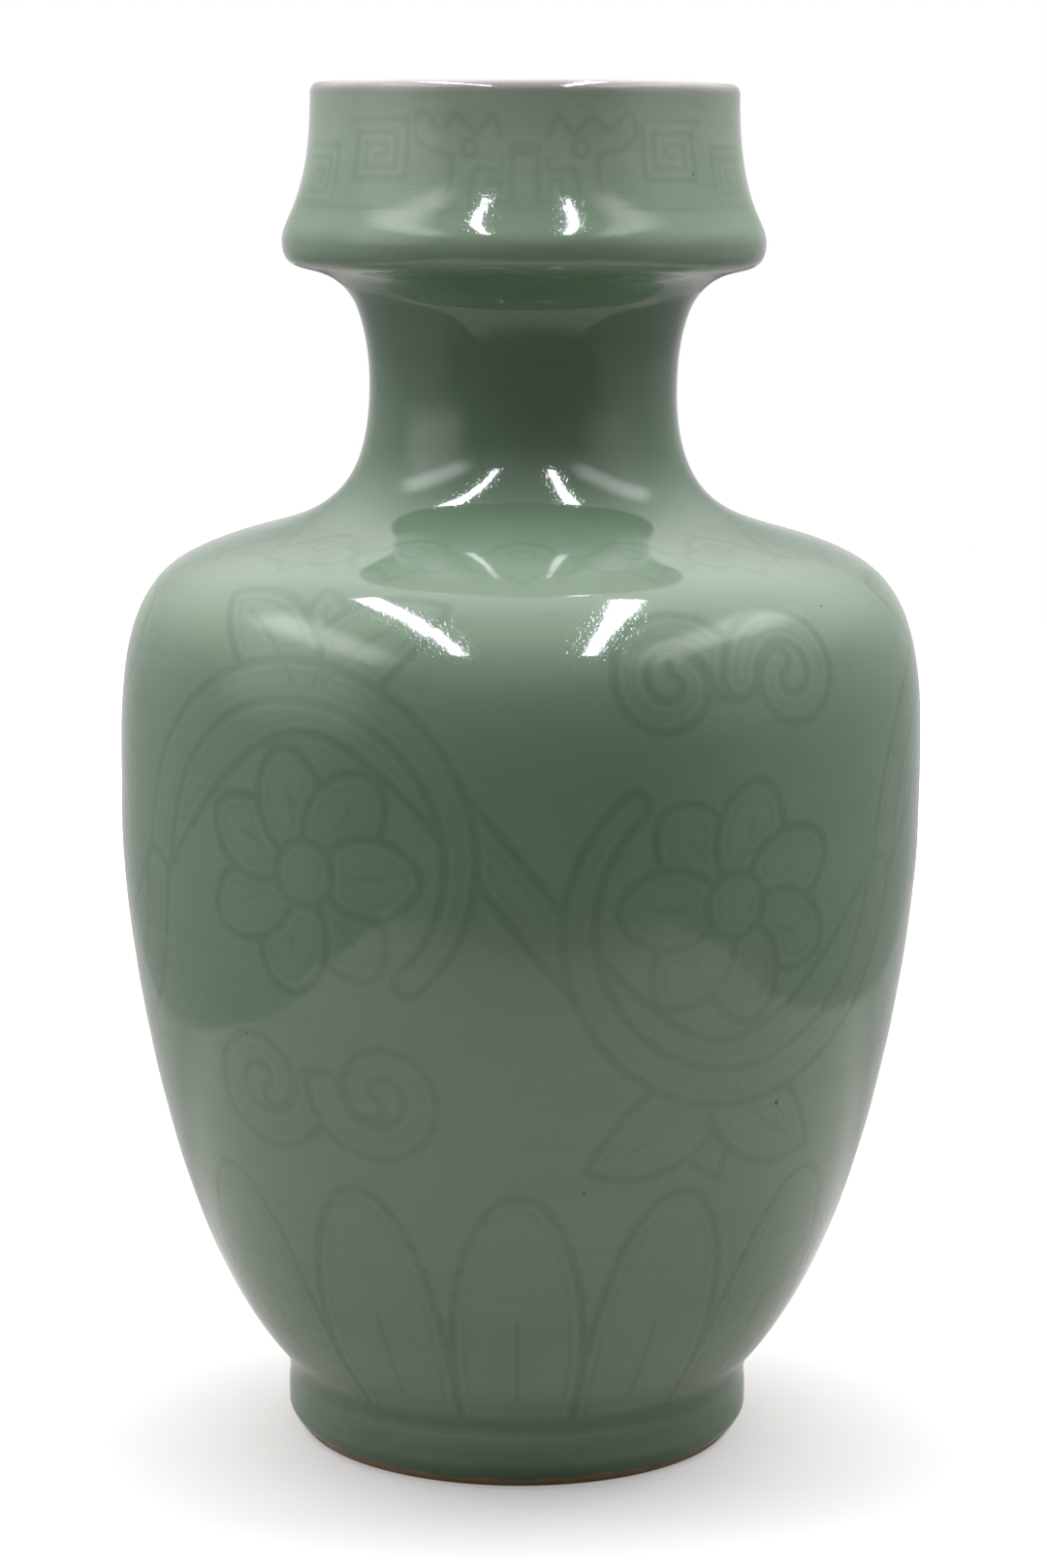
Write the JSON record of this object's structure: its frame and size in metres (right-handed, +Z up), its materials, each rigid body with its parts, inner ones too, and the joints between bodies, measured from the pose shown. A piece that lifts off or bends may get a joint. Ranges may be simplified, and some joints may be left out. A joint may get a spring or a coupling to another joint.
{
  "type": "celadon vase",
  "caption": "Tall glazed stoneware vase with a cup mouth, waisted neck, broad shoulder, tapering body and short foot ring; holds water and cut flowers.",
  "frame": {"origin": "centre of the foot, on the surface that the vase stands on", "axes": "+Z up along the vase's axis; +X to the right and +Y away in the picture's view"},
  "size_m": [0.2364, 0.2364, 0.4009],
  "materials": {
    "celadon_glaze": "glossy grey-green celadon glaze",
    "celadon_foot": "the same glaze, wiped off a red-brown bare rim",
    "fired_slip": "fired slip under the glaze"
  },
  "bodies": {
    "root": {"mouth_cup": "celadon_glaze", "mouth_luting": "fired_slip", "neck": "celadon_glaze", "neck_luting": "fired_slip", "shoulder": "celadon_glaze", "belly_luting": "fired_slip", "lower_body": "celadon_glaze", "foot_luting": "fired_slip", "foot_ring": "celadon_foot", "base_disc": "celadon_glaze", "base_luting": "fired_slip"}
  },
  "joints": []
}
